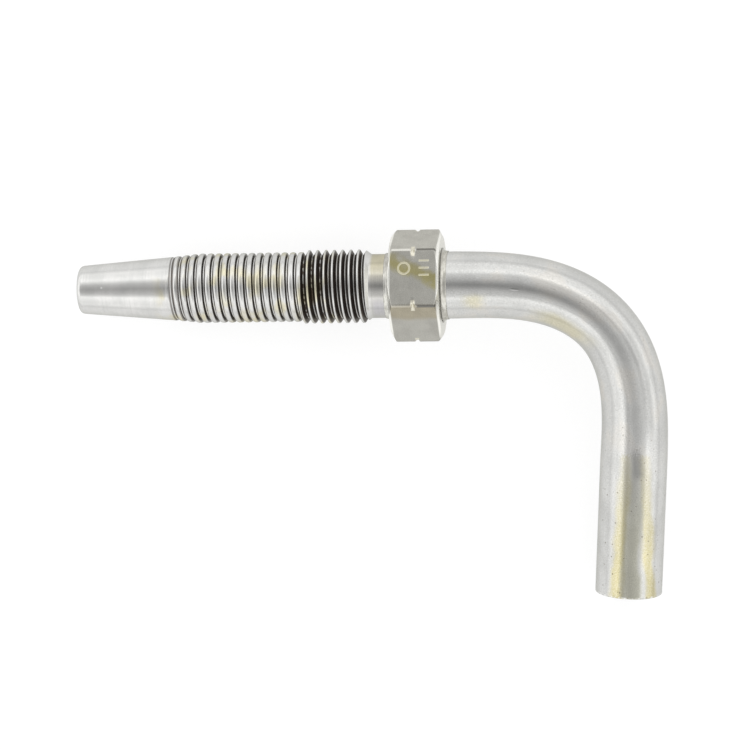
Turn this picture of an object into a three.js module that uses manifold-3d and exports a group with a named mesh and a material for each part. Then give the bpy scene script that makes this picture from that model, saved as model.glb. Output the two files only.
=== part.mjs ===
// A screw-in hose end: a threaded hose insert, a wrench hexagon and a bent tube, brazed together.
// Millimetres. In the design frame X runs along the insert, from its nose to the hexagon, and is 0
// at the hexagon's centre. The tube leaves along +X and bends towards -Y in the plane Z = 0.
// The finished part is then laid on the ground plane Z = 0, as it rests by itself.
import * as THREE from "three";
import { mergeVertices } from "three/addons/utils/BufferGeometryUtils.js";
import Module from "manifold-3d";

const wasm = await Module();
wasm.setup();

// ---- Driving dimensions ----
const HEX = { acrossFlats: 11.8, cornerRadius: 6.73, length: 6, chamfer: 30, clocking: 15.7 };
const CORNER_GROOVE = { depth: 0.24, halfWidth: 0.27 };
const BRAZE_SEAT = { radius: 4.45, depth: 0.03 }; // shallow cone in the shoulder, under the front fillet
const TUBE = { radius: 4, bore: 2.5, start: 0.1, edge: 0.25, leg: 16.5 };
const BEND = { start: 4.5, rampIn: 18.2, arc: 1.8, rampOut: 15.5, angle: 92.9 };
const BEND_SECTION = { flattening: 0.073, widening: 0.044 }; // shares of the radius, at the tightest
const INSERT = { noseX: -41, noseRadius: 2.88, noseEdge: 0.54, bore: 1.75, end: -0.1 };
const TAPER_END = { x: -29.9, radius: 3.8 };
const GRIP = { start: -26.3, radius: 4.19, root: 3.68, rootHalfWidth: 0.1, flank: 0.25 };
const SCREW = { start: -13.55, end: -6.1, radius: 4.41, root: 3.78, rootHalfWidth: 0.06, flank: 0.577 };
const SHOULDER = 0.15; // length of the step from the grip blank up to the screw blank
const NECK = { start: -5.5, radius: 3.83 };
const THREAD = { pitch: 1, phase: -16.46, from: -30.1, to: -5.35, runIn: 1.3, runOut: 0.6 };
const CUTTER = { blend: 0.6, lift: 0.8, clearance: 0.09 }; // how the threading tool opens, withdraws and clears
const FRONT_FILLET = { length: 0.7, height: 0.5 };
const REAR_FILLET = { length: 0.65, height: 0.42 };
const FILLET_TOE = 0.04; // thickness of a fillet's thin end
const BRAZE_GAP = 0.05; // clearance between pieces that are brazed together
const LYING = { noseDip: 5.16, legDip: 7.38 }; // degrees; it lies on a thread crest, the hexagon and the tube end

const ROUND_SEGMENTS = 24;
const THREAD_SEGMENTS = 24; // for each turn of the thread, in step with the round segments
const ARC_STEPS = 3;
const TUBE_RING_SPACING = 1.8;
const PATH_STEP = 0.05;
const MERGE_DISTANCE = 1e-4;
const radians = THREE.MathUtils.degToRad;
const clamp = THREE.MathUtils.clamp;

// ---- Solids ----

// The closed triangle mesh of a geometry, as a solid that can be cut and joined.
function toSolid(geometry) {
  const bare = geometry.clone();
  bare.deleteAttribute("normal");
  bare.deleteAttribute("uv");
  const merged = mergeVertices(bare, MERGE_DISTANCE);
  const vertProperties = new Float32Array(merged.getAttribute("position").array);
  const triVerts = new Uint32Array(merged.getIndex().array);
  return new wasm.Manifold(new wasm.Mesh({ numProp: 3, vertProperties, triVerts }));
}

function toGeometry(solid) {
  const { vertProperties, triVerts } = solid.getMesh();
  const geometry = new THREE.BufferGeometry();
  geometry.setAttribute("position", new THREE.BufferAttribute(vertProperties, 3));
  geometry.setIndex(new THREE.BufferAttribute(triVerts, 1));
  geometry.computeVertexNormals();
  return geometry;
}

// A body turned about the X axis. Its profile is a closed list of [x, radius] points.
function turned(profile, segments = ROUND_SEGMENTS) {
  const points = [...profile, profile[0]].map(([x, radius]) => new THREE.Vector2(radius, x));
  return new THREE.LatheGeometry(points, segments).rotateZ(-Math.PI / 2);
}

// The points of a quarter round of the given radius, from one direction angle to another.
function roundedCorner(x, y, radius, fromDegrees, toDegrees) {
  const points = [];
  for (let i = 0; i <= ARC_STEPS; i += 1) {
    const angle = radians(fromDegrees + ((toDegrees - fromDegrees) * i) / ARC_STEPS);
    points.push([x + radius * Math.cos(angle), y + radius * Math.sin(angle)]);
  }
  return points;
}

// Joins a row of rings, each with the same number of points. A looped row closes on its first ring,
// and any other row gets a flat cap at each end.
function loft(rings, looped) {
  const count = rings[0].length;
  const index = [];
  const last = looped ? rings.length : rings.length - 1;
  for (let i = 0; i < last; i += 1) {
    const here = i * count;
    const there = ((i + 1) % rings.length) * count;
    for (let j = 0; j < count; j += 1) {
      const next = (j + 1) % count;
      index.push(here + j, here + next, there + j, here + next, there + next, there + j);
    }
  }
  if (!looped) {
    const top = (rings.length - 1) * count;
    for (let j = 1; j < count - 1; j += 1) {
      index.push(0, j + 1, j, top, top + j, top + j + 1);
    }
  }
  const geometry = new THREE.BufferGeometry().setFromPoints(rings.flat());
  geometry.setIndex(index);
  geometry.computeVertexNormals();
  return geometry;
}

// ---- Hose insert ----

// The insert before its thread is cut: a tapered nose, two thread blanks and a plain neck.
function insertBlank() {
  const { noseX, noseRadius, noseEdge, bore, end } = INSERT;
  const nose = roundedCorner(noseX + noseEdge, noseRadius - noseEdge, noseEdge, 180, 90);
  return turned([
    [noseX, bore],
    ...nose,
    [TAPER_END.x, TAPER_END.radius],
    [GRIP.start, GRIP.radius],
    [SCREW.start - SHOULDER, GRIP.radius],
    [SCREW.start, SCREW.radius],
    [SCREW.end, SCREW.radius],
    [NECK.start, NECK.radius],
    [end, NECK.radius],
    [end, bore],
  ]);
}

// The thread groove's section at one place along X: a narrow groove in the grip stretch,
// which opens into a full V in the screw stretch, and fades out at both ends.
function grooveSection(x) {
  const share = clamp((x - SCREW.start) / CUTTER.blend + 1, 0, 1);
  const mix = (name) => THREE.MathUtils.lerp(GRIP[name], SCREW[name], share);
  const fadeIn = clamp((x - THREAD.from) / THREAD.runIn, 0, 1);
  const fadeOut = clamp((THREAD.to - x) / THREAD.runOut, 0, 1);
  const lift = CUTTER.lift * (1 - Math.min(fadeIn, fadeOut));
  const root = mix("root") + lift;
  const mouth = SCREW.radius + CUTTER.clearance + lift;
  const half = mix("rootHalfWidth");
  const mouthHalf = half + (mouth - root) * mix("flank");
  return [
    [-half, root],
    [half, root],
    [mouthHalf, mouth],
    [-mouthHalf, mouth],
  ];
}

// The space that the threading tool sweeps: the groove's section carried along a right-hand helix.
function threadGroove() {
  const firstStep = Math.round(((THREAD.from - THREAD.phase) / THREAD.pitch) * THREAD_SEGMENTS);
  const lastStep = Math.round(((THREAD.to - THREAD.phase) / THREAD.pitch) * THREAD_SEGMENTS);
  const rings = [];
  for (let i = firstStep; i <= lastStep; i += 1) {
    const turn = i / THREAD_SEGMENTS;
    const x = THREAD.phase + THREAD.pitch * turn;
    const angle = 2 * Math.PI * turn;
    rings.push(
      grooveSection(x).map(
        ([offset, radius]) =>
          new THREE.Vector3(x + offset, radius * Math.cos(angle), radius * Math.sin(angle)),
      ),
    );
  }
  return loft(rings, false);
}

function hoseInsert() {
  return toGeometry(toSolid(insertBlank()).subtract(toSolid(threadGroove())));
}

// ---- Wrench hexagon ----

// The turned outline of the hexagon: 30 degree chamfers, a shallow V groove round the corners,
// and a stepped bore that takes the insert's neck on one side and the tube on the other.
function hexEnvelope() {
  const half = HEX.length / 2;
  const face = HEX.acrossFlats / 2;
  const chamferLength = (HEX.cornerRadius - face) * Math.tan(radians(HEX.chamfer));
  const neckBore = NECK.radius + BRAZE_GAP;
  const tubeBore = TUBE.radius + BRAZE_GAP;
  return turned(
    [
      [-half + BRAZE_SEAT.depth, neckBore],
      [-half, BRAZE_SEAT.radius],
      [-half, face],
      [-half + chamferLength, HEX.cornerRadius],
      [-CORNER_GROOVE.halfWidth, HEX.cornerRadius],
      [0, HEX.cornerRadius - CORNER_GROOVE.depth],
      [CORNER_GROOVE.halfWidth, HEX.cornerRadius],
      [half - chamferLength, HEX.cornerRadius],
      [half, face],
      [half, tubeBore],
      [0, tubeBore],
      [0, neckBore],
    ],
    2 * ROUND_SEGMENTS,
  );
}

// A hexagonal bar along X. Its first face points along Z, turned towards +Y by the clocking.
function hexBar() {
  const corner = HEX.acrossFlats / Math.sqrt(3);
  const points = [];
  for (let i = 0; i < 6; i += 1) {
    const angle = radians(60 * i + 30 + HEX.clocking);
    points.push(new THREE.Vector2(corner * Math.sin(angle), corner * Math.cos(angle)));
  }
  const depth = 2 * HEX.length; // longer than the envelope, which trims it
  const bar = new THREE.ExtrudeGeometry(new THREE.Shape(points), { depth, bevelEnabled: false });
  return bar.translate(0, 0, -depth / 2).rotateY(Math.PI / 2).rotateX(Math.PI / 2);
}

function wrenchHex() {
  return toGeometry(toSolid(hexBar()).intersect(toSolid(hexEnvelope())));
}

// ---- Bent tube ----

// How tightly the tube is bent at a distance s from the hexagon's centre, as a share of its
// tightest curvature. It grows evenly into the bend and fades evenly out of it.
function bendShare(s) {
  const bendEnd = BEND.start + BEND.rampIn + BEND.arc + BEND.rampOut;
  return clamp(Math.min((s - BEND.start) / BEND.rampIn, (bendEnd - s) / BEND.rampOut, 1), 0, 1);
}

// The tube's centre line: a list of { s, x, y, heading }, with the heading turning from +X to -Y.
function tubePath() {
  const tightest = radians(BEND.angle) / (BEND.arc + (BEND.rampIn + BEND.rampOut) / 2);
  const end = BEND.start + BEND.rampIn + BEND.arc + BEND.rampOut + TUBE.leg;
  const path = [{ s: TUBE.start, x: TUBE.start, y: 0, heading: 0 }];
  for (let s = TUBE.start; s < end; s += PATH_STEP) {
    const { x, y, heading } = path[path.length - 1];
    const turn = tightest * bendShare(s + PATH_STEP / 2) * PATH_STEP;
    const middle = heading + turn / 2;
    path.push({
      s: s + PATH_STEP,
      x: x + PATH_STEP * Math.cos(middle),
      y: y - PATH_STEP * Math.sin(middle),
      heading: heading + turn,
    });
  }
  return path;
}

// One ring of the tube's wall. Where the tube bends, it is a little flatter across the bend.
function tubeRing({ s, x, y, heading }, radius) {
  const share = bendShare(s);
  const across = radius * (1 - BEND_SECTION.flattening * share);
  const along = radius * (1 + BEND_SECTION.widening * share);
  const ring = [];
  for (let j = 0; j < ROUND_SEGMENTS; j += 1) {
    const angle = (2 * Math.PI * j) / ROUND_SEGMENTS;
    const side = across * Math.cos(angle);
    ring.push(
      new THREE.Vector3(
        x + side * Math.sin(heading),
        y + side * Math.cos(heading),
        along * Math.sin(angle),
      ),
    );
  }
  return ring;
}

function bentTube() {
  const path = tubePath();
  const stride = Math.round(TUBE_RING_SPACING / PATH_STEP);
  const stations = path.filter((point, i) => i % stride === 0 && i < path.length - stride / 2);
  const end = path[path.length - 1];
  const edgeStart = path[path.length - 1 - Math.round(TUBE.edge / PATH_STEP)];
  const outer = stations.map((point) => tubeRing(point, TUBE.radius));
  outer.push(tubeRing(edgeStart, TUBE.radius), tubeRing(end, TUBE.radius - TUBE.edge));
  const inner = [...stations, end].map((point) => tubeRing(point, TUBE.bore)).reverse();
  return loft([...outer, ...inner], true);
}

// ---- Braze fillets ----

// A ring with a hollow, concave face, in the corner between a round neck and a face of the hexagon.
// side is -1 on the insert's side and 1 on the tube's side.
function brazeFillet(side, neckRadius, { length, height }) {
  const faceX = HEX.length / 2 + BRAZE_GAP;
  const foot = neckRadius + BRAZE_GAP;
  const profile = [[side * faceX, foot]];
  for (let i = 0; i <= ARC_STEPS; i += 1) {
    const angle = (Math.PI / 2) * (i / ARC_STEPS);
    const x = faceX + length * (1 - Math.sin(angle));
    profile.push([side * x, foot + FILLET_TOE + (height - FILLET_TOE) * (1 - Math.cos(angle))]);
  }
  profile.splice(1, 0, [side * (faceX + length), foot]);
  return turned(side < 0 ? profile : profile.reverse());
}

// ---- The assembly ----

function piece(name, geometry, color, roughness) {
  const material = new THREE.MeshStandardMaterial({ color, roughness, metalness: 1 });
  const mesh = new THREE.Mesh(geometry, material);
  mesh.name = name;
  return mesh;
}

const fitting = new THREE.Group();
fitting.rotation.x = radians(LYING.legDip);
fitting.add(
  piece("hose_insert", hoseInsert(), 0xb4b3ae, 0.32),
  piece("wrench_hex", wrenchHex(), 0xa8a69c, 0.36),
  piece("bent_tube", bentTube(), 0xbebdb8, 0.3),
  piece("front_braze_fillet", brazeFillet(-1, NECK.radius, FRONT_FILLET), 0xc9c4b2, 0.28),
  piece("rear_braze_fillet", brazeFillet(1, TUBE.radius, REAR_FILLET), 0xc9c4b2, 0.28),
);

const lying = new THREE.Group();
lying.rotation.y = radians(-LYING.noseDip);
lying.add(fitting);

// The part stands on Z = 0, with its box centred on the origin.
const box = new THREE.Box3().setFromObject(lying, true);
const centre = box.getCenter(new THREE.Vector3());
lying.position.set(-centre.x, -centre.y, -box.min.z);

const part = new THREE.Group();
part.add(lying);

export default part;
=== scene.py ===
"""A screw-in hose end with a bent tube, lying on a pale floor in soft studio light.

Shapes are worked out in millimetres in the fitting's own frame: X runs along the insert from its
nose, 0 is the hexagon's centre, and the tube bends from +X towards -Y in the plane Z = 0.
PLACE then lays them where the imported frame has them.
"""

import math

import bpy
import numpy as np
from mathutils import Matrix, Vector


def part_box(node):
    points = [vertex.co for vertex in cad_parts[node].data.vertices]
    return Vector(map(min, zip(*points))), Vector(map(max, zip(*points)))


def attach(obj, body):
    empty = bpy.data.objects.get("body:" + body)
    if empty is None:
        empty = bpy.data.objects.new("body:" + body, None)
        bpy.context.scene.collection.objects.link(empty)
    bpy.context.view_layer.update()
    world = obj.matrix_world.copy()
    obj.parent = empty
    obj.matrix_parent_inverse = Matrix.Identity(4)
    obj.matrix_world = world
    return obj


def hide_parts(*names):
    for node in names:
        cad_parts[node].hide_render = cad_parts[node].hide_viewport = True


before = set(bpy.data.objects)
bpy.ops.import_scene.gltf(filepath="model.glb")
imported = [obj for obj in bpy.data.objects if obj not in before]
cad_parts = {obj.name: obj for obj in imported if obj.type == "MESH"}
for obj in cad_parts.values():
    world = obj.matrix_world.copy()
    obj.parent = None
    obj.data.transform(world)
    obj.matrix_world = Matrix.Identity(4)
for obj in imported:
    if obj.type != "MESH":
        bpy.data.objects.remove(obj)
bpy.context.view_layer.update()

MM = 0.001
NOSE_DIP, LEG_DIP = 5.16, 7.38  # degrees, as it lies on a crest, the hexagon and the tube end
ROUND = 96  # points round the insert, the tube and the fillets

HEX = dict(across_flats=11.8, corner_radius=6.73, length=6, chamfer=30, clocking=15.7)
LAND_BLEND = 0.04  # how softly a flat runs into its round corner
CORNER_GROOVE = dict(depth=0.29, half_width=0.3)
TUBE = dict(radius=4, bore=2.5, start=0.1, edge=0.25, leg=16.5)
BEND = dict(start=4.5, ramp_in=18.2, arc=1.8, ramp_out=15.5, angle=92.9, flattening=0.073)
WIDENING = 0.6  # how much the bend widens, as a share of its flattening
BEND_END = BEND["start"] + BEND["ramp_in"] + BEND["arc"] + BEND["ramp_out"]
TUBE_END = BEND_END + TUBE["leg"]  # like BEND_END, along the tube from the hexagon's centre
INSERT = dict(nose_x=-41, nose_radius=2.88, nose_edge=0.54, bore=1.75, end=-0.1)
BLANK = [  # the insert's outline before its thread, as [x, radius]
    (-41, 2.88),
    (-29.9, 3.8),
    (-26.3, 4.19),
    (-13.7, 4.19),
    (-13.55, 4.41),
    (-6.3, 4.41),
    (-5.5, 3.83),
    (0, 3.83),
]
# Each groove form: its root radius, half its floor's width, its flanks' slope, how far the crest
# is domed, how round its edges are, and how much dark residue and painted shade lies on its left
# and right walls.
GRIP = dict(root=3.68, half=0.1, flank=0.25, dome=0.07, blend=0.055, left=0.68, right=0.84)
SCREW = dict(root=3.78, half=0.06, flank=0.577, dome=0.0, blend=0.035, left=0.94, right=0.92)
SCREW_START, FORM_CHANGE = -13.55, 0.6  # where the grip form has become the screw form
CREST_HALF = 0.27
THREAD = dict(  # right-hand, with a pitch of 1 mm
    phase=-16.46, start=-30.1, end=-5.35, run_in=1.3, run_out=0.6, first_turn=-15, turns=26
)
NECK_RADIUS = 3.83
GAP = 0.05  # between the hexagon and the pieces beside it
FRONT_FILLET = dict(neck_radius=NECK_RADIUS, length=0.7, height=0.5)
REAR_FILLET = dict(neck_radius=TUBE["radius"], length=0.65, height=0.42)
FILLET_TOE = 0.04

# ---- Camera ----

VIEW = dict(
    distance=300, width=89.39, hex_at=(5.115, 10.671, 0.036), yaw=7.13, roll=0.49, lean=8.99
)


def rotation(axis, degrees):
    return Matrix.Rotation(math.radians(degrees), 4, axis)


low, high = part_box("wrench_hex")
LYING = rotation("Y", -NOSE_DIP) @ rotation("X", LEG_DIP)
PLACE = Matrix.Translation((low + high) / 2) @ LYING @ Matrix.Scale(MM, 4)


def camera_frame():
    """The fitting's own axes as the camera sees them: x right, y up, z towards the camera."""
    yaw, roll, lean = (math.radians(VIEW[k]) for k in ("yaw", "roll", "lean"))
    along = Vector(
        (math.cos(yaw) * math.cos(roll), math.sin(roll), math.sin(yaw) * math.cos(roll))
    )
    down = Vector((0, -1, 0))
    down = (down - down.dot(along) * along).normalized()
    back = along.cross(down)
    leg = math.cos(lean) * down + math.sin(lean) * back
    across = -leg
    return Matrix((along, across, along.cross(across))).transposed()


def add_camera():
    seen = camera_frame().transposed()
    eye = seen @ (Vector((0, 0, VIEW["distance"])) - Vector(VIEW["hex_at"]))
    data = bpy.data.cameras.new("camera")
    data.sensor_fit = "HORIZONTAL"
    data.angle = 2 * math.atan(VIEW["width"] / 2 / VIEW["distance"])
    data.clip_start = 0.01
    camera = bpy.data.objects.new("camera", data)
    bpy.context.scene.collection.objects.link(camera)
    turn = LYING.to_3x3() @ seen
    camera.matrix_world = Matrix.Translation(PLACE @ eye) @ turn.to_4x4()
    bpy.context.scene.camera = camera


add_camera()

# ---- Mesh tools ----


def smoothstep(x, low, high):
    """0 up to low, 1 from high on, and a smooth step between."""
    t = np.clip((np.asarray(x, float) - low) / (high - low), 0, 1)
    return t * t * (3 - 2 * t)


def smooth_min(a, b, k):
    """The smaller of a and b, blended where they are less than k apart."""
    h = np.clip(0.5 + 0.5 * (b - a) / k, 0, 1)
    return b + (a - b) * h - k * h * (1 - h)


def grid_faces(rows, columns, closed):
    """Quads of a grid whose columns go round; its rows close on themselves if closed."""
    count = rows if closed else rows - 1
    i, j = np.meshgrid(np.arange(count), np.arange(columns), indexing="ij")
    up, on = (i + 1) % rows, (j + 1) % columns
    quads = np.stack([i * columns + j, i * columns + on, up * columns + on, up * columns + j], -1)
    return quads.reshape(-1, 4).tolist()


def make_piece(name, node, points, faces, place, extra=None):
    """A smooth mesh riding on the part, with its own coordinates kept as attributes."""
    mesh = bpy.data.meshes.new(name)
    flat = np.asarray(points, float).reshape(-1, 3)
    m = np.array(PLACE)
    flat = flat @ m[:3, :3].T + m[:3, 3]
    mesh.from_pydata(flat.tolist(), [], faces)
    mesh.update()
    mesh.shade_smooth()
    layer = mesh.attributes.new("place", "FLOAT_VECTOR", "POINT")
    layer.data.foreach_set("vector", np.asarray(place, np.float32).reshape(-1))
    for key, values in (extra or {}).items():
        layer = mesh.attributes.new(key, "FLOAT", "POINT")
        layer.data.foreach_set("value", np.asarray(values, np.float32).reshape(-1))
    obj = bpy.data.objects.new(name, mesh)
    bpy.context.scene.collection.objects.link(obj)
    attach(obj, "root")
    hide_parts(node)
    return obj


def rounded_path(corners, steps=4):
    """A path through [x, y, size] corners, each cut back by size and replaced by a curve."""
    at = [np.array(c[:2], float) for c in corners]
    out = [at[0]]
    for k in range(1, len(at) - 1):
        size = corners[k][2]
        if not size:
            out.append(at[k])
            continue
        before, after = at[k - 1] - at[k], at[k + 1] - at[k]
        a = at[k] + before * min(0.4, size / max(np.linalg.norm(before), 1e-9))
        b = at[k] + after * min(0.4, size / max(np.linalg.norm(after), 1e-9))
        out.append(a + (a - at[k]) * 0.12)
        for t in np.linspace(0, 1, steps):
            out.append((1 - t) ** 2 * a + 2 * t * (1 - t) * at[k] + t**2 * b)
        out.append(b + (b - at[k]) * 0.12)
    out.append(at[-1])
    return np.array(out)


def turned_rings(path, angles):
    """Rings about X for each [x, radius] of a path."""
    x, r = path[:, 0][:, None], path[:, 1][:, None]
    c, s = np.cos(angles)[None, :], np.sin(angles)[None, :]
    points = np.stack([x + 0 * c, r * c, r * s], -1)
    place = np.stack([x + 0 * c, c + 0 * x, s + 0 * x], -1)
    return points, place


# ---- Threaded insert ----


def blank_radius(x):
    return np.interp(x, *zip(*BLANK))


def thread_radius(x, u):
    """The radius at x, u from the groove's middle, and the residue and painted shade on its walls
    and floor.
    """
    screw = smoothstep(x, SCREW_START - FORM_CHANGE, SCREW_START)
    mix = {k: GRIP[k] + (SCREW[k] - GRIP[k]) * screw for k in GRIP}
    fade = np.minimum(
        smoothstep(x, THREAD["start"], THREAD["start"] + THREAD["run_in"]),
        1 - smoothstep(x, THREAD["end"] - THREAD["run_out"], THREAD["end"]),
    )
    blank = blank_radius(x)
    root = mix["root"] + (1 - fade)
    beyond = np.maximum(np.abs(u) - mix["half"], 0)
    groove = root + beyond / mix["flank"]
    crest = blank - fade * mix["dome"] * (np.maximum(0.5 - np.abs(u), 0) / CREST_HALF) ** 2
    radius = smooth_min(crest, groove, mix["blend"])
    radius = np.where(fade > 0, radius, blank)
    # The dark residue and painted shade cover each wall from just below the crest's edge to the
    # floor.
    depth = np.clip((blank - radius) / np.maximum(blank - mix["root"], 0.05), 0, 1)
    cover = smoothstep(depth, 0.06, 0.24)
    right = smoothstep(u, 0.01, 0.05) * cover
    left = smoothstep(-u, 0.06, 0.1) * cover
    wall = right * mix["right"] + left * mix["left"]
    floor = (1 - right) * (1 - left) * smoothstep(depth, 0.8, 0.95)
    return radius, wall, floor


def threaded_insert():
    """One strip wound along the thread, between plain rings at the nose and the neck."""
    angles = 2 * np.pi * np.arange(ROUND) / ROUND
    first, turns = THREAD["first_turn"], THREAD["turns"]
    start = THREAD["phase"] + first - 0.3
    stop = THREAD["phase"] + first + turns + 1.3
    front = rounded_path(
        [
            (INSERT["end"], INSERT["bore"], 0),
            (INSERT["nose_x"], INSERT["bore"], 0.12),
            (INSERT["nose_x"], INSERT["nose_radius"], INSERT["nose_edge"]),
            (start, blank_radius(start), 0),
        ],
        steps=8,
    )
    back = np.array([(x, NECK_RADIUS) for x in (stop, -3.6, -3, -2, INSERT["end"])])
    front_points, front_place = turned_rings(front, angles)
    back_points, back_place = turned_rings(back, angles)

    # Across one groove and crest, the points lie closest where the form turns.
    half = [0, 0.05, 0.09, 0.11, 0.14, 0.17, 0.2, 0.23, 0.26, 0.3, 0.35, 0.4, 0.44, 0.47]
    offsets = np.array(half + [0.5] + [1 - h for h in half[:0:-1]])
    m, last = len(offsets), turns * ROUND
    turn = (first + np.arange(last + ROUND + 1) / ROUND)[:, None]
    x = THREAD["phase"] + turn + offsets[None, :]
    radius, wall, floor = thread_radius(x, np.where(offsets > 0.5, offsets - 1, offsets)[None, :])
    c, s = np.cos(2 * np.pi * turn) + 0 * x, np.sin(2 * np.pi * turn) + 0 * x
    points, place = np.stack([x, radius * c, radius * s], -1), np.stack([x, c, s], -1)

    def strip(values):
        """The whole turns of the strip, and then one more turn of its first edge."""
        tail = values.shape[2:]
        return np.concatenate(
            [values[: last + 1].reshape(-1, *tail), values[last + 1 :, 0].reshape(-1, *tail)]
        )

    base = len(front) * ROUND
    back_base = base + (last + 1) * m + ROUND

    def at(k, p):
        """The index of point p across the strip at step k; p = m is the next turn's first edge."""
        k, p = (k + ROUND, 0) if p == m else (k, p)
        return base + (k * m + p if k <= last else (last + 1) * m + k - last - 1)

    faces = grid_faces(len(front), ROUND, False)
    faces += [
        [at(k, p), at(k + 1, p), at(k + 1, p + 1), at(k, p + 1)]
        for k in range(last)
        for p in range(m)
    ]
    edge = base - ROUND
    faces += [[edge + j, edge + j + 1, at(j + 1, 0), at(j, 0)] for j in range(ROUND - 1)]
    faces.append([edge + ROUND - 1, edge] + [at(0, p) for p in range(m + 1)] + [at(ROUND - 1, 0)])
    faces += [
        [at(last + j, 0), at(last + j + 1, 0), back_base + (j + 1) % ROUND, back_base + j]
        for j in range(1, ROUND)
    ]
    seam = [at(last, p) for p in range(m, 0, -1)]
    faces.append([at(last, 0), at(last + 1, 0), back_base + 1, back_base] + seam)
    faces += [[i + back_base for i in f] for f in grid_faces(len(back), ROUND, False)]
    end = back_base + (len(back) - 1) * ROUND  # the neck's end face, out to the bore's first ring
    faces += [[end + j, end + (j + 1) % ROUND, (j + 1) % ROUND, j] for j in range(ROUND)]

    clean_front, clean_back = np.zeros(base), np.zeros(len(back) * ROUND)
    return make_piece(
        "threaded_insert",
        "hose_insert",
        np.concatenate([front_points.reshape(-1, 3), strip(points), back_points.reshape(-1, 3)]),
        faces,
        np.concatenate([front_place.reshape(-1, 3), strip(place), back_place.reshape(-1, 3)]),
        {
            "wall": np.concatenate([clean_front, strip(wall), clean_back]),
            "floor": np.concatenate([clean_front, strip(floor), clean_back]),
        },
    )


# ---- Wrench hexagon ----


def hex_columns():
    """Angles round the hexagon, its radius at each, and how many degrees each is off its face.

    The angles lie closest where the outline turns.
    """
    face, corner = HEX["across_flats"] / 2, HEX["corner_radius"]
    land = math.degrees(math.acos(face / corner))
    side = [0, 5, 10, 15, 20, 23, 25, 26.5, 27.5, 28, 28.4, land, 29, 29.3, 29.6]
    sector = [-a for a in side[:0:-1]] + side + [30]
    degrees = np.array([60 * k + HEX["clocking"] + a for k in range(6) for a in sector])
    off_face = np.abs((degrees - HEX["clocking"] + 30) % 60 - 30)
    radius = face / np.cos(np.radians(off_face))
    return np.radians(degrees), smooth_min(radius, corner, LAND_BLEND), off_face


def wrench_hexagon():
    half, face = HEX["length"] / 2, HEX["across_flats"] / 2
    slope, lip = math.tan(math.radians(HEX["chamfer"])), 0.02
    bore_edge, face_edge, chamfer_edge, groove_edge, groove_floor = 0.05, 0.03, 0.07, 0.05, 0.12
    groove = CORNER_GROOVE
    angles, reach, off_face = hex_columns()
    rings = []
    for radius in reach:
        cut = half - max(radius - face + lip, lip) * slope
        bottom = min(radius, HEX["corner_radius"] - groove["depth"])
        rings.append(
            rounded_path(
                [
                    (0, NECK_RADIUS + GAP, 0),
                    (-half, NECK_RADIUS + GAP, bore_edge),
                    (-half, face - face_edge, face_edge),
                    (-cut, radius, chamfer_edge),
                    (-groove["half_width"], radius, groove_edge),
                    (0, bottom, groove_floor),
                    (groove["half_width"], radius, groove_edge),
                    (cut, radius, chamfer_edge),
                    (half, face - face_edge, face_edge),
                    (half, TUBE["radius"] + GAP, bore_edge),
                    (0, TUBE["radius"] + GAP, 0),
                ]
            )
        )
    path = np.array(rings).transpose(1, 0, 2)
    x, r = path[..., 0], path[..., 1]
    across, up = r * np.sin(angles), r * np.cos(angles)
    points = np.stack([x, across, up], -1)
    faces = [f[::-1] for f in grid_faces(len(path), len(angles), True)]
    off = np.broadcast_to(off_face, x.shape)
    place = np.stack([x, across, up], -1)
    return make_piece(
        "wrench_hexagon", "wrench_hex", points, faces, place, {"off_face": off}
    )


# ---- Bent tube ----


def bend_share(s):
    """How sharply the tube bends at s, as a share of its tightest."""
    rising, falling = (s - BEND["start"]) / BEND["ramp_in"], (BEND_END - s) / BEND["ramp_out"]
    return np.clip(np.minimum(np.minimum(rising, falling), 1), 0, 1)


def tube_path(step=0.02):
    """The centre line at every step: distance from the hexagon's centre, x, y and heading."""
    s = np.arange(TUBE["start"], TUBE_END + step / 2, step)
    ramps = (BEND["ramp_in"] + BEND["ramp_out"]) / 2
    tightest = math.radians(BEND["angle"]) / (BEND["arc"] + ramps)
    turns = tightest * bend_share(s[:-1] + step / 2) * step
    heading = np.concatenate([[0], np.cumsum(turns)])
    middle = (heading[:-1] + heading[1:]) / 2
    x = TUBE["start"] + np.concatenate([[0], np.cumsum(step * np.cos(middle))])
    y = np.concatenate([[0], np.cumsum(-step * np.sin(middle))])
    return s, x, y, heading


def bent_tube():
    s, x, y, heading = tube_path()
    end, edge, bore_edge = s[-1], TUBE["edge"], 0.12
    outer_step, inner_step = 0.4, 1.5
    outer = [(t, TUBE["radius"]) for t in np.arange(TUBE["start"], end - edge - 0.3, outer_step)]
    rim = rounded_path(
        [
            (end - edge - 0.2, TUBE["radius"], 0),
            (end, TUBE["radius"], edge),
            (end, TUBE["bore"], bore_edge),
            (end - 1, TUBE["bore"], 0),
        ],
        steps=6,
    )
    inner = [(t, TUBE["bore"]) for t in np.arange(TUBE["start"], end - 1.2, inner_step)[::-1]]
    path = np.array(outer + [tuple(p) for p in rim] + inner)
    angles = 2 * np.pi * np.arange(ROUND) / ROUND
    c, sn = np.cos(angles)[None, :], np.sin(angles)[None, :]
    at, radius = path[:, 0][:, None], path[:, 1][:, None]
    px, py, turn = (np.interp(at, s, values) for values in (x, y, heading))
    flat = BEND["flattening"] * bend_share(at)
    across, along = radius * (1 - flat) * c, radius * (1 + WIDENING * flat) * sn
    points = np.stack([px + across * np.sin(turn), py + across * np.cos(turn), along], -1)
    share = radius / TUBE["radius"]
    place = np.stack([at + 0 * c, c * share, sn * share], -1)
    inside = np.broadcast_to(radius < TUBE["bore"] + 0.2, across.shape)
    return make_piece(
        "drawn_tube",
        "bent_tube",
        points,
        grid_faces(len(path), ROUND, True),
        place,
        {"inside": inside},
    )


# ---- Braze fillets ----


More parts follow.
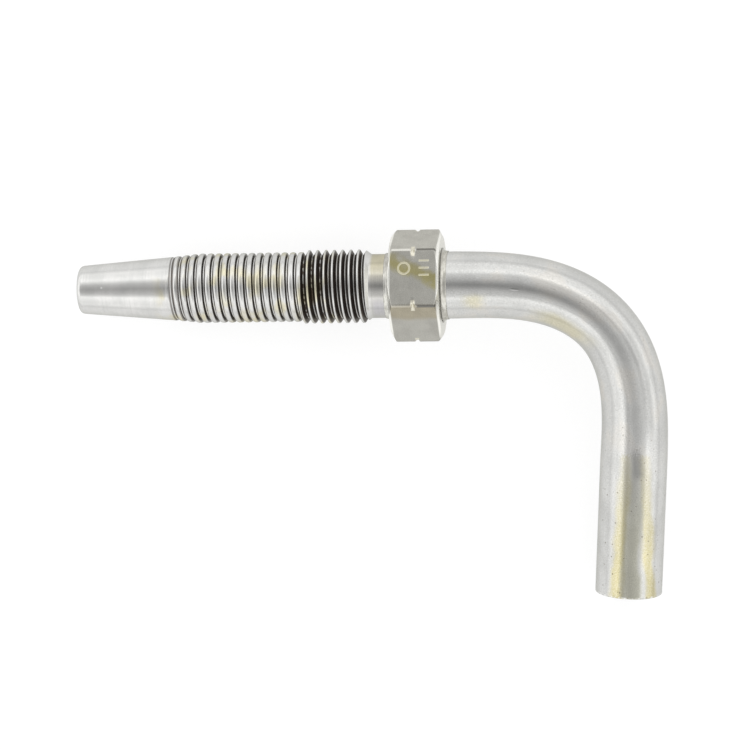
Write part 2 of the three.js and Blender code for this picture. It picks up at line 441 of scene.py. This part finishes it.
def braze_ring(name, node, side, neck_radius, length, height):
    """A ring with a hollow face in the corner between a round neck and the hexagon."""
    face, foot, toe = HEX["length"] / 2 + GAP, neck_radius + GAP, FILLET_TOE
    curve = [(face + length, foot)]
    for t in np.linspace(0, 1, 9):
        a = t * math.pi / 2
        curve.append(
            (face + length * (1 - math.sin(a)), foot + toe + (height - toe) * (1 - math.cos(a)))
        )
    curve += [(face, foot)]
    path = np.array([(side * x, r) for x, r in curve])
    points, place = turned_rings(path, 2 * np.pi * np.arange(ROUND) / ROUND)
    faces = grid_faces(len(path), ROUND, True)
    if side > 0:
        faces = [f[::-1] for f in faces]
    return make_piece(name, node, points, faces, place)


# ---- Materials ----

# Each look works from a piece's own coordinates: along is in millimetres. On the insert, tube and
# fillets, side and top are shares of the radius; on the hexagon they are millimetres too.

BUMP_DEPTH = 0.000006  # metres
GLANCING = 0.72, 0.72, 0.7  # tint where the metal is seen edge-on

class Shader:
    """Builds one material's nodes around its Principled shader."""

    def __init__(self, tree):
        self.tree = tree

    def node(self, kind, inputs=(), **settings):
        made = self.tree.nodes.new("ShaderNode" + kind)
        for key, value in settings.items():
            setattr(made, key, value)
        for key, value in dict(inputs).items():
            self.put(made.inputs[key], value)
        return made

    def put(self, socket, value):
        if isinstance(value, bpy.types.NodeSocket):
            self.tree.links.new(value, socket)
        else:
            socket.default_value = value

    def math(self, operation, a, b=0.0):
        inputs = {0: a} if b is None else {0: a, 1: b}
        return self.node("Math", inputs, operation=operation).outputs[0]

    def attribute(self, name, output="Fac"):
        return self.node("Attribute", attribute_name=name).outputs[output]

    def parts(self, vector):
        return self.node("SeparateXYZ", {0: vector}).outputs

    def scaled(self, vector, by):
        return self.node("VectorMath", {0: vector, 1: by}, operation="MULTIPLY").outputs[0]

    def noise(self, vector, scale, detail=2.0, roughness=0.5):
        inputs = {"Vector": vector, "Scale": scale, "Detail": detail, "Roughness": roughness}
        return self.node("TexNoise", inputs).outputs["Fac"]

    def step(self, value, low, high, to_low=0.0, to_high=1.0):
        """A smooth step of value from low to high; low may be above high."""
        flip = low > high
        limits = (high, low, to_high, to_low) if flip else (low, high, to_low, to_high)
        inputs = dict(zip((1, 2, 3, 4), limits))
        inputs[0] = value
        return self.node("MapRange", inputs, interpolation_type="SMOOTHSTEP").outputs[0]

    def band(self, value, middle, half, soft):
        """1 within half of middle, and 0 from soft beyond it."""
        off = self.math("ABSOLUTE", self.math("SUBTRACT", value, middle), None)
        return self.node(
            "MapRange",
            {0: off, 1: half, 2: half + soft, 3: 1.0, 4: 0.0},
            interpolation_type="SMOOTHSTEP",
        ).outputs[0]

    def times(self, *values):
        product = values[0]
        for value in values[1:]:
            product = self.math("MULTIPLY", product, value)
        return product

    def mix(self, share, a, b, blend="MIX"):
        made = self.node("Mix", data_type="RGBA", blend_type=blend)
        made.clamp_factor = True
        for socket, value in zip((made.inputs[0], made.inputs[6], made.inputs[7]), (share, a, b)):
            self.put(socket, value)
        return made.outputs[2]


def tinted(sh, share, base, tint):
    """base multiplied by a tint, by a share; used for films of colour and for painted shade."""
    return sh.mix(share, base, tint, "MULTIPLY")


def colour(*rgb):
    return (*rgb, 1.0)


def steel(name, build):
    """A metal whose colour, roughness and height come from build(shader, place)."""
    material = bpy.data.materials.new(name)
    material.use_nodes = True
    tree = material.node_tree
    tree.nodes.clear()
    shader = Shader(tree)
    place = shader.attribute("place", "Vector")
    base, roughness, height = build(shader, place)
    bump = shader.node("Bump", {"Height": height, "Distance": BUMP_DEPTH, "Strength": 1.0})
    inputs = {"Base Color": base, "Roughness": roughness, "Metallic": 1.0}
    inputs["Normal"] = bump.outputs[0]
    inputs["Specular Tint"] = colour(*GLANCING)
    surface = shader.node("BsdfPrincipled", inputs)
    out = shader.node("OutputMaterial")
    tree.links.new(surface.outputs[0], out.inputs[0])
    return material


STRAW = colour(1.0, 0.91, 0.56)
GOLD = colour(0.86, 0.80, 0.46)
RESIDUE_AND_SHADE = colour(0.035, 0.028, 0.022)


def turned_look(sh, place):
    along, side, top = sh.parts(place)
    grain = sh.noise(sh.scaled(place, (9, 30, 30)), 1.0, 3.0, 0.6)
    rings = sh.noise(sh.scaled(place, (14, 0.6, 0.6)), 1.0, 3.0, 0.6)
    cloud = sh.noise(sh.scaled(place, (0.5, 1.2, 1.2)), 1.0, 3.0, 0.55)
    base = sh.mix(sh.step(cloud, 0.3, 0.7), colour(0.61, 0.61, 0.595), colour(0.69, 0.685, 0.67))
    base = sh.mix(sh.step(rings, 0.35, 0.75, 0.0, 0.35), base, colour(0.52, 0.52, 0.51))
    base = sh.mix(sh.step(grain, 0.5, 0.8, 0.0, 0.3), base, colour(0.46, 0.46, 0.44))
    # Heat tint on the grip thread and on the neck, and painted shade over the whole neck
    grip = sh.band(along, -20, 9.5, 2.5)
    warm = sh.step(sh.noise(sh.scaled(place, (0.45, 1.6, 1.6)), 1.0, 2.0), 0.45, 0.68)
    base = tinted(sh, sh.times(warm, grip, 0.6), base, STRAW)
    neck = sh.step(along, -5.6, -5.1)
    # Painted shade: the neck is painted darker all round
    base = tinted(sh, neck, base, colour(0.80, 0.79, 0.77))
    base = tinted(sh, sh.times(neck, sh.step(side, 0.1, 0.8, 0.0, 0.55)), base, STRAW)
    blue = sh.times(sh.band(along, -4.2, 0.5, 0.7), sh.band(side, -0.6, 0.1, 0.3), 0.6)
    base = tinted(sh, blue, base, colour(0.9, 0.9, 1.0))
    # Dark residue and painted shade in the grooves, by a different share on each wall, patchy on
    # their floors where the screw thread begins
    ragged = sh.noise(sh.scaled(place, (3, 5, 5)), 1.0, 4.0, 0.6)
    screw = sh.band(along, -9.7, 3.9, 0.4)
    gaps = sh.times(sh.band(along, -12.4, 1.0, 0.8), sh.step(ragged, 0.46, 0.54))
    wall = sh.attribute("wall")
    floor = sh.attribute("floor")
    residue_and_shade = sh.times(wall, sh.step(ragged, 0.2, 0.5, 0.82, 1.0))
    residue_and_shade = sh.math("MAXIMUM", residue_and_shade, sh.times(floor, sh.math("ADD", gaps, sh.times(screw, 0.35))))
    brown = sh.mix(sh.step(ragged, 0.35, 0.65), RESIDUE_AND_SHADE, colour(0.085, 0.062, 0.048))
    base = sh.mix(residue_and_shade, base, brown)
    # A painted glint: a bright speck on the taper
    glint = sh.times(sh.band(along, -37.8, 0.05, 0.08), sh.band(side, 0.18, 0.015, 0.025))
    base = sh.mix(sh.times(glint, sh.step(top, 0.5, 0.6)), base, colour(0.97, 0.97, 0.96))
    rough = sh.math("ADD", sh.step(grain, 0.3, 0.8, 0.14, 0.26), sh.times(residue_and_shade, 0.25))
    height = sh.math("ADD", sh.times(rings, 0.22), sh.times(grain, 0.18))
    return base, rough, height


def milled_look(sh, place):
    along, side, top = sh.parts(place)
    edge = sh.attribute("off_face")
    grain = sh.noise(sh.scaled(place, (9, 9, 9)), 1.0, 3.0, 0.6)
    lines = sh.noise(sh.scaled(place, (12, 0.8, 0.8)), 1.0, 2.0)
    cloud = sh.noise(sh.scaled(place, (0.4, 0.4, 0.4)), 1.0, 3.0, 0.6)
    dull, pale = colour(0.455, 0.445, 0.405), colour(0.52, 0.51, 0.465)
    base = sh.mix(sh.step(cloud, 0.35, 0.65), dull, pale)
    base = sh.mix(sh.step(lines, 0.4, 0.8, 0.0, 0.25), base, colour(0.38, 0.38, 0.36))
    # Heat tint slanting over the front flat, and along the edge of the flat below it
    turn = math.radians(HEX["clocking"])
    level = sh.math("SUBTRACT", sh.times(side, math.cos(turn)), sh.times(top, math.sin(turn)))
    front = sh.times(sh.step(top, 4.4, 5.2), sh.step(level, 3.4, 3.2))
    wave = sh.times(sh.math("SUBTRACT", cloud, 0.5), 3.0)
    slant = sh.math("ADD", sh.math("ADD", level, sh.times(along, 0.45)), wave)
    tint = sh.times(front, sh.band(slant, 0.85, 0.1, 1.2))
    base = tinted(sh, tint, base, GOLD)
    low = sh.band(sh.math("ADD", level, sh.times(wave, 0.2)), -3.9, 0.35, 0.6)
    base = tinted(sh, sh.times(low, sh.step(top, 2, 3), 0.9), base, colour(0.74, 0.68, 0.56))
    # Painted shade: the flat towards -Y is painted darker
    shaded_flat = sh.times(sh.step(side, -2.5, -4.0), sh.step(top, -1.5, 0.5))
    base = tinted(sh, shaded_flat, base, colour(0.84, 0.84, 0.84))
    # Painted highlights on the chamfers, a line along each corner painted as shade on one half and
    # as a highlight on the other, and a bright corner groove
    chamfer = sh.step(sh.math("ABSOLUTE", along, None), 2.62, 2.8)
    base = sh.mix(sh.times(chamfer, 0.9), base, colour(0.96, 0.95, 0.90))
    land = sh.times(sh.step(edge, 28.4, 28.9), sh.step(sh.math("ABSOLUTE", along, None), 2.75, 2.6))
    shaded_half = sh.step(sh.math("ADD", along, sh.times(wave, 0.6)), 0.2, 0.5)
    base = sh.mix(sh.times(land, shaded_half), base, colour(0.17, 0.165, 0.15))
    bright = sh.times(land, sh.step(shaded_half, 1.0, 0.0), sh.step(side, -2, 0, 0.12, 0.8))
    base = sh.mix(bright, base, colour(0.68, 0.67, 0.62))
    slot = sh.times(sh.step(edge, 23.4, 24.2), sh.band(along, 0, 0.17, 0.12))
    base = sh.mix(sh.times(slot, 0.9), base, colour(0.70, 0.67, 0.56))
    struck = stamp(sh, along, level, front)
    base = sh.mix(sh.times(struck, 0.8), base, colour(0.80, 0.76, 0.58))
    rough = sh.step(grain, 0.3, 0.75, 0.24, 0.36)
    height = sh.math("ADD", sh.times(grain, 0.14), sh.times(lines, 0.12))
    return base, rough, sh.math("SUBTRACT", height, sh.times(struck, 4.0))


def stamp(sh, along, level, front):
    """A plain ring and three short strokes struck into the front flat."""
    ring_x, ring_y, radius, pen = -1.05, 1.15, 0.66, 0.07
    dx, dy = sh.math("SUBTRACT", along, ring_x), sh.math("SUBTRACT", level, ring_y)
    far = sh.math("SQRT", sh.math("ADD", sh.times(dx, dx), sh.times(dy, dy)), None)
    marks = sh.band(far, radius, pen, 0.06)
    for y in (2.05, 1.2, 0.35):
        stroke = sh.times(sh.band(along, 1.3, 0.55, 0.08), sh.band(level, y, pen, 0.06))
        marks = sh.math("MAXIMUM", marks, stroke)
    return sh.times(marks, front)


LEG_TINT_START = 39.0


def drawn_look(sh, place):
    along, side, top = sh.parts(place)
    skin = sh.scaled(place, (1, 4, 4))
    grain = sh.noise(skin, 7.0, 3.0, 0.65)
    streak = sh.noise(sh.scaled(place, (0.25, 9, 9)), 1.0, 3.0, 0.6)
    cloud = sh.noise(sh.scaled(place, (0.22, 1.3, 1.3)), 1.0, 3.0, 0.55)
    base = sh.mix(sh.step(cloud, 0.3, 0.7), colour(0.55, 0.55, 0.535), colour(0.64, 0.64, 0.625))
    base = sh.mix(sh.step(streak, 0.5, 0.8, 0.0, 0.22), base, colour(0.48, 0.48, 0.465))
    base = sh.mix(sh.step(grain, 0.5, 0.72, 0.0, 0.45), base, colour(0.40, 0.40, 0.385))
    base = sh.mix(sh.step(grain, 0.46, 0.3, 0.0, 0.45), base, colour(0.76, 0.76, 0.74))
    # Two straw strips down the upper side of the leg, spreading apart, and a core between them
    # painted darker, warm grey, as a painted dark reflection
    facing = sh.step(top, 0.1, 0.5)
    wave = sh.times(sh.math("SUBTRACT", cloud, 0.5), 0.4)
    across = sh.math("ADD", side, wave)
    fray = sh.times(sh.math("SUBTRACT", grain, 0.5), 2.0)
    frayed = sh.math("ADD", along, sh.math("ADD", fray, sh.times(wave, 4.0)))
    leg = sh.step(frayed, LEG_TINT_START, LEG_TINT_START + 0.6)
    down = sh.step(along, LEG_TINT_START + 0.4, TUBE_END)
    left = sh.math("ADD", across, sh.times(down, 0.11))
    right = sh.math("SUBTRACT", across, sh.times(down, 0.28))
    strips = sh.math("MAXIMUM", sh.band(left, -0.24, 0.06, 0.2), sh.band(right, 0.35, 0.05, 0.18))
    speckle = sh.step(grain, 0.35, 0.6, 0.7, 1.0)
    amount = sh.step(along, LEG_TINT_START, 53, 0.4, 1.0)
    base = tinted(sh, sh.times(strips, leg, facing, speckle, amount), base, STRAW)
    deepening = sh.step(along, LEG_TINT_START, 50, 0.25, 0.95)
    # Painted dark reflection down the leg's middle
    shaded_core = sh.times(sh.band(across, 0.04, 0.16, 0.24), leg, facing, deepening)
    base = tinted(sh, shaded_core, base, colour(0.83, 0.82, 0.71))
    # Painted dark reflection: a dark patch at the top of the leg
    shade = sh.times(sh.band(frayed, 40.3, 0.7, 1.6), sh.band(across, 0.13, 0.04, 0.2), facing)
    base = tinted(sh, shade, base, colour(0.70, 0.70, 0.71))
    # Heat tint inside the bend and beside the hexagon, a painted dark reflection as a stripe along
    # the bend, and a blush
    inner = sh.band(across, -0.68, 0.04, 0.3)
    bend = sh.times(sh.band(frayed, 19.0, 1.6, 4.5), inner, facing, 0.55)
    beside = sh.band(across, -0.4, 0.02, 0.28)
    patch = sh.times(sh.band(frayed, 6.8, 0.2, 1.8), beside, facing, 0.5)
    base = tinted(sh, sh.math("MAXIMUM", bend, patch), base, STRAW)
    # Painted dark reflection: a darker stripe on the outer side of the bend's core
    stripe = sh.times(sh.band(along, 29, 6, 4), sh.band(side, 0.46, 0.05, 0.13), facing)
    base = tinted(sh, stripe, base, colour(0.76, 0.76, 0.76))
    blush = sh.times(sh.step(cloud, 0.5, 0.62), sh.band(along, 22, 14, 6), 0.5)
    base = tinted(sh, blush, base, colour(1.0, 0.955, 0.9))
    # Small dark pits, most of them on the leg
    cells = sh.node("TexVoronoi", {"Vector": skin, "Scale": 1.9}, feature="F1").outputs
    rare = sh.step(sh.parts(cells["Color"])[0], 0.72, 0.74)
    pit = sh.times(sh.step(cells["Distance"], 0.22, 0.1), rare, sh.step(cloud, 0.36, 0.5))
    pit = sh.times(pit, sh.step(along, 36, 46, 0.35, 1.0))
    base = sh.mix(sh.times(pit, 0.7), base, colour(0.13, 0.10, 0.06))
    # A nick by the bend, painted as shade, with a painted highlight on its lip
    nick = sh.times(sh.band(along, 11.8, 0.2, 0.45), sh.band(side, 0.062, 0.008, 0.02), facing)
    base = sh.mix(sh.times(nick, 0.6), base, colour(0.3, 0.3, 0.29))
    lip = sh.times(sh.band(along, 11.75, 0.25, 0.4), sh.band(side, 0.022, 0.008, 0.018), facing)
    base = sh.mix(sh.times(lip, 0.6), base, colour(0.9, 0.9, 0.88))
    # The rim has patchy painted highlights, and the bore is painted dark as painted shade
    rim = sh.step(along, TUBE_END - 0.35, TUBE_END - 0.15)
    rim_highlights = sh.step(sh.noise(sh.scaled(place, (2, 11, 11)), 1.0, 3.0), 0.45, 0.65, 0.0, 0.8)
    base = sh.mix(sh.times(rim, rim_highlights), base, colour(0.85, 0.85, 0.83))
    rough = sh.step(grain, 0.3, 0.75, 0.13, 0.24)
    # Painted shade inside the bore
    bore = sh.attribute("inside")
    base = sh.mix(sh.times(bore, 0.75), base, colour(0.16, 0.155, 0.15))
    height = sh.math("ADD", sh.times(grain, 0.9), sh.times(streak, 0.2))
    height = sh.math("SUBTRACT", height, sh.times(pit, 3.0))
    return base, rough, height


def braze_look(sh, place):
    along, side, _ = sh.parts(place)
    grain = sh.noise(sh.scaled(place, (3, 6, 6)), 1.0, 3.0, 0.6)
    base = sh.mix(sh.step(grain, 0.35, 0.7), colour(0.70, 0.69, 0.64), colour(0.52, 0.51, 0.46))
    # Each ring has painted shade by side and a painted darker middle, and is darker at its seam
    # with the hexagon
    front = sh.step(along, 0.5, -0.5)
    rear = sh.step(front, 1, 0)
    rear_shade = sh.step(sh.band(side, -0.5, 0.06, 0.12), 0, 1, 0.8, 0.1)
    base = tinted(sh, sh.times(rear, rear_shade), base, colour(0.80, 0.79, 0.77))
    base = tinted(sh, sh.times(front, sh.step(side, 0.3, 0.6)), base, colour(0.80, 0.79, 0.79))
    shaded_core = sh.times(sh.band(side, 0.1, 0.15, 0.2), sh.step(front, 0, 1, 0.3, 1.0))
    base = tinted(sh, shaded_core, base, colour(0.64, 0.64, 0.65))
    seam = sh.step(sh.math("ABSOLUTE", along, None), 3.15, 3.08)
    base = sh.mix(sh.times(seam, 0.7), base, colour(0.26, 0.25, 0.23))
    rough = sh.step(grain, 0.3, 0.7, 0.16, 0.3)
    return base, rough, sh.times(grain, 0.8)


# ---- The pieces ----

PIECES = [
    (threaded_insert(), steel("turned_steel", turned_look)),
    (wrench_hexagon(), steel("milled_steel", milled_look)),
    (bent_tube(), steel("drawn_steel", drawn_look)),
]
BRAZE = steel("braze_metal", braze_look)
PIECES.append((braze_ring("front_ring", "front_braze_fillet", -1, **FRONT_FILLET), BRAZE))
PIECES.append((braze_ring("rear_ring", "rear_braze_fillet", 1, **REAR_FILLET), BRAZE))
for shape, material in PIECES:
    shape.data.materials.append(material)
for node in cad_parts.values():
    node.data.materials.clear()
    node.data.materials.append(BRAZE)

# ---- Floor and light ----


FLOOR_SIZE = 3.0  # metres, from its middle to its edge
FLOOR_DROP = 0.00005  # metres, so that the finer crests stay clear of it
GLOW = dict(near=0.07, far=0.25, bright=0.76, dim=0.5)


def add_floor():
    """A pale floor that glows a little, and less so far from the part."""
    mesh = bpy.data.meshes.new("floor")
    size = FLOOR_SIZE
    corners = [(-size, -size, 0), (size, -size, 0), (size, size, 0), (-size, size, 0)]
    mesh.from_pydata(corners, [], [(0, 1, 2, 3)])
    floor = bpy.data.objects.new("floor", mesh)
    floor.location.z = -FLOOR_DROP
    bpy.context.scene.collection.objects.link(floor)
    material = bpy.data.materials.new("floor")
    material.use_nodes = True
    surface = material.node_tree.nodes["Principled BSDF"]
    surface.inputs["Base Color"].default_value = colour(0.3, 0.3, 0.3)
    surface.inputs["Roughness"].default_value = 0.9
    surface.inputs["Specular IOR Level"].default_value = 0.0
    surface.inputs["Emission Color"].default_value = colour(1, 1, 1)
    sh = Shader(material.node_tree)
    far = sh.node("VectorMath", {0: sh.node("TexCoord").outputs["Object"]}, operation="LENGTH")
    glow = sh.step(far.outputs["Value"], GLOW["near"], GLOW["far"], GLOW["bright"], GLOW["dim"])
    sh.put(surface.inputs["Emission Strength"], glow)
    mesh.materials.append(material)


def add_light_tent():
    """A white tent all round, with a darker opening overhead."""
    world = bpy.data.worlds.new("tent")
    bpy.context.scene.world = world
    world.use_nodes = True
    tree = world.node_tree
    tree.nodes.clear()
    sh = Shader(tree)
    direction = sh.node("TexCoord").outputs["Generated"]
    x, y, z = sh.parts(direction)
    height = sh.node("ValToRGB", {"Fac": sh.math("ADD", sh.times(z, 0.5), 0.5)})
    paint(height.color_ramp, TENT)
    wide = sh.math("DIVIDE", sh.math("SUBTRACT", x, OPENING["x"]), OPENING["half_x"])
    deep = sh.math("DIVIDE", y, OPENING["half_y"])
    power = OPENING["power"]
    wide, deep = (sh.math("POWER", sh.math("ABSOLUTE", v, None), power) for v in (wide, deep))
    off = sh.math("POWER", sh.math("ADD", wide, deep), 1 / power)
    below = sh.step(z, 0.1, 0.3, 1.0, 0.0)
    fac = sh.times(sh.math("ADD", off, below), OPENING["scale"])
    opening = sh.node("ValToRGB", {"Fac": fac})
    paint(opening.color_ramp, OPENING["shades"])
    light = sh.mix(1.0, height.outputs[0], opening.outputs[0], "MULTIPLY")
    # Darker near y = 0 in one band of x, then a dim patch and a dim -Y side
    stripe = sh.node("ValToRGB", {"Fac": sh.math("ADD", sh.math("ABSOLUTE", y, None), below)})
    paint(stripe.color_ramp, OPENING["stripe"])
    reach = sh.band(x, -0.26, 0.12, 0.22)
    light = sh.mix(reach, light, sh.mix(1.0, light, stripe.outputs[0], "MULTIPLY"))
    dim = sh.times(sh.band(x, -0.5, 0.08, 0.1), sh.step(y, -0.54, -0.46), sh.step(y, 0.62, 0.5))
    light = tinted(sh, sh.times(dim, sh.step(z, 0.1, 0.3)), light, colour(0.78, 0.78, 0.78))
    light = tinted(sh, sh.step(y, -0.3, -0.7), light, colour(0.95, 0.95, 0.95))
    glow = sh.node("Background", {"Color": light, "Strength": TENT_STRENGTH})
    out = sh.node("OutputWorld")
    tree.links.new(glow.outputs[0], out.inputs[0])


def paint(ramp, shades):
    """Sets a ramp's stops from (position, brightness) pairs."""
    while len(ramp.elements) < len(shades):
        ramp.elements.new(0.5)
    for element, (position, brightness) in zip(ramp.elements, shades):
        element.position = position
        element.color = colour(brightness, brightness, brightness)


def by_angle(degrees):
    """Where a direction this far from straight up lies on the height ramp."""
    return 0.5 + 0.5 * math.cos(math.radians(degrees))


TENT_STRENGTH = 1.5
TENT = [
    (0.0, 0.5),
    (by_angle(110), 0.62),
    (by_angle(85), 0.72),
    (by_angle(76), 0.9),
    (by_angle(68), 0.83),
    (by_angle(58), 0.90),
    (by_angle(47), 1.02),
    (1.0, 0.95),
]
OPENING = dict(
    x=0.02,
    half_x=0.7,
    half_y=0.72,
    power=1.5,  # 2 would make it an ellipse, and 1 a diamond
    scale=0.8,  # of the ramp's positions
    shades=[
        (0.0, 0.36),
        (0.24, 0.42),
        (0.4, 0.50),
        (0.6, 0.60),
        (0.74, 0.62),
        (0.8, 0.75),
        (0.85, 1.0),
    ],
    stripe=[(0.0, 0.56), (0.17, 0.76), (0.36, 0.95), (0.5, 1.0)],
)

add_floor()
add_light_tent()
bpy.context.scene.view_settings.view_transform = "Standard"
